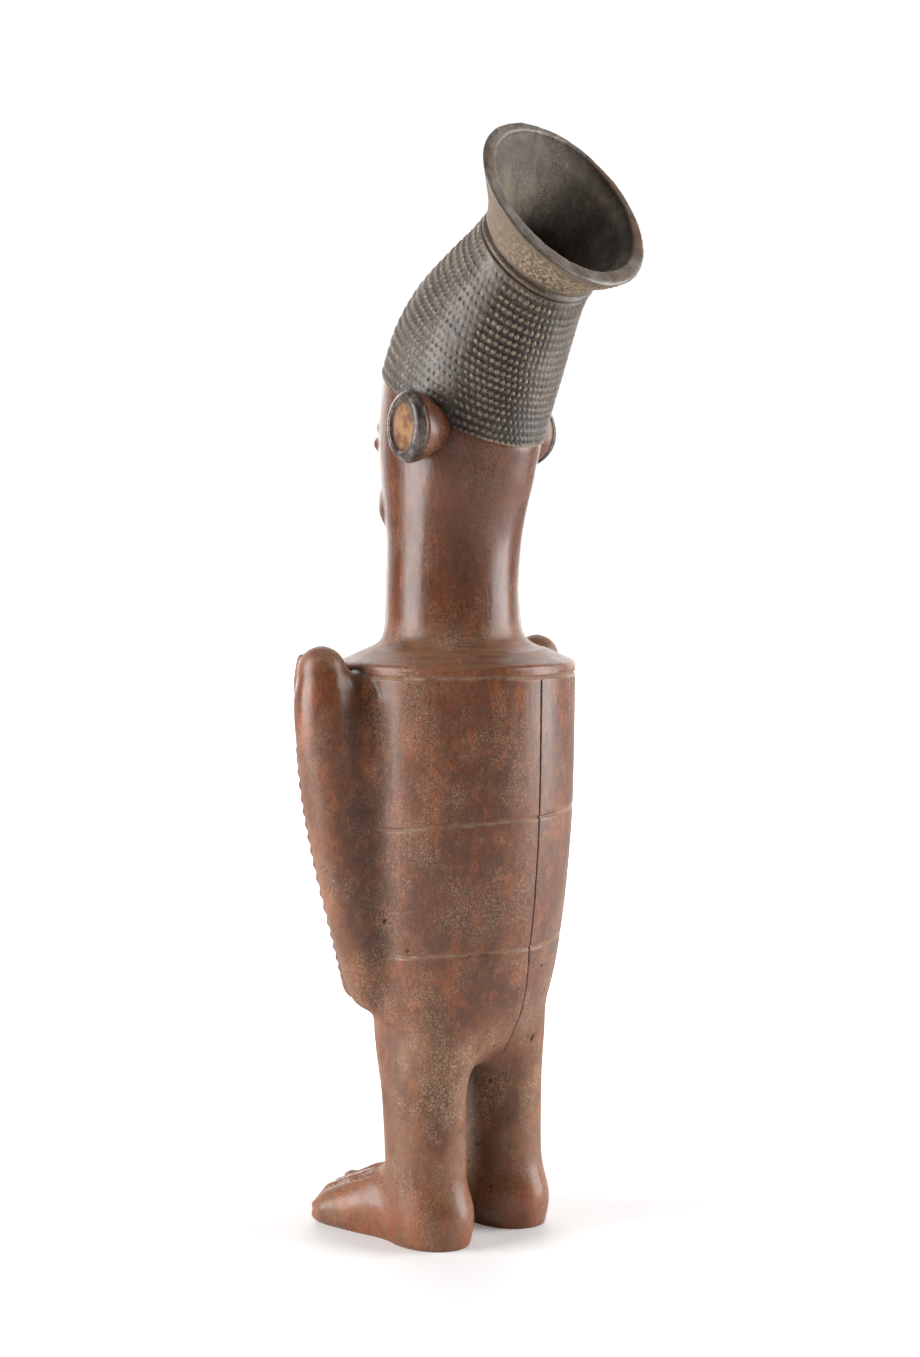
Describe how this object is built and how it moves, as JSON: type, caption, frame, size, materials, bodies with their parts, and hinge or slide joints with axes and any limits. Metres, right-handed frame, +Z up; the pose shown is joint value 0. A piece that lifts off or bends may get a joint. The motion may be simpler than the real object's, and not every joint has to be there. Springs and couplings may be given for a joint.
{
  "type": "terracotta statuette",
  "caption": "Standing figure-shaped clay vessel with folded arms, cup ears and a head that leans back and opens in a flared funnel.",
  "frame": {"origin": "on the ground under the middle of the figure's outline", "axes": "+Z up the figure, -Y the way it faces, +X its left hand"},
  "size_m": [0.1598, 0.1557, 0.5],
  "materials": {
    "terracotta": "hand-burnished red-brown clay, smoke-blackened hair and funnel, pale dust in the incised lines"
  },
  "bodies": {
    "root": {"statuette": "terracotta"}
  },
  "joints": []
}
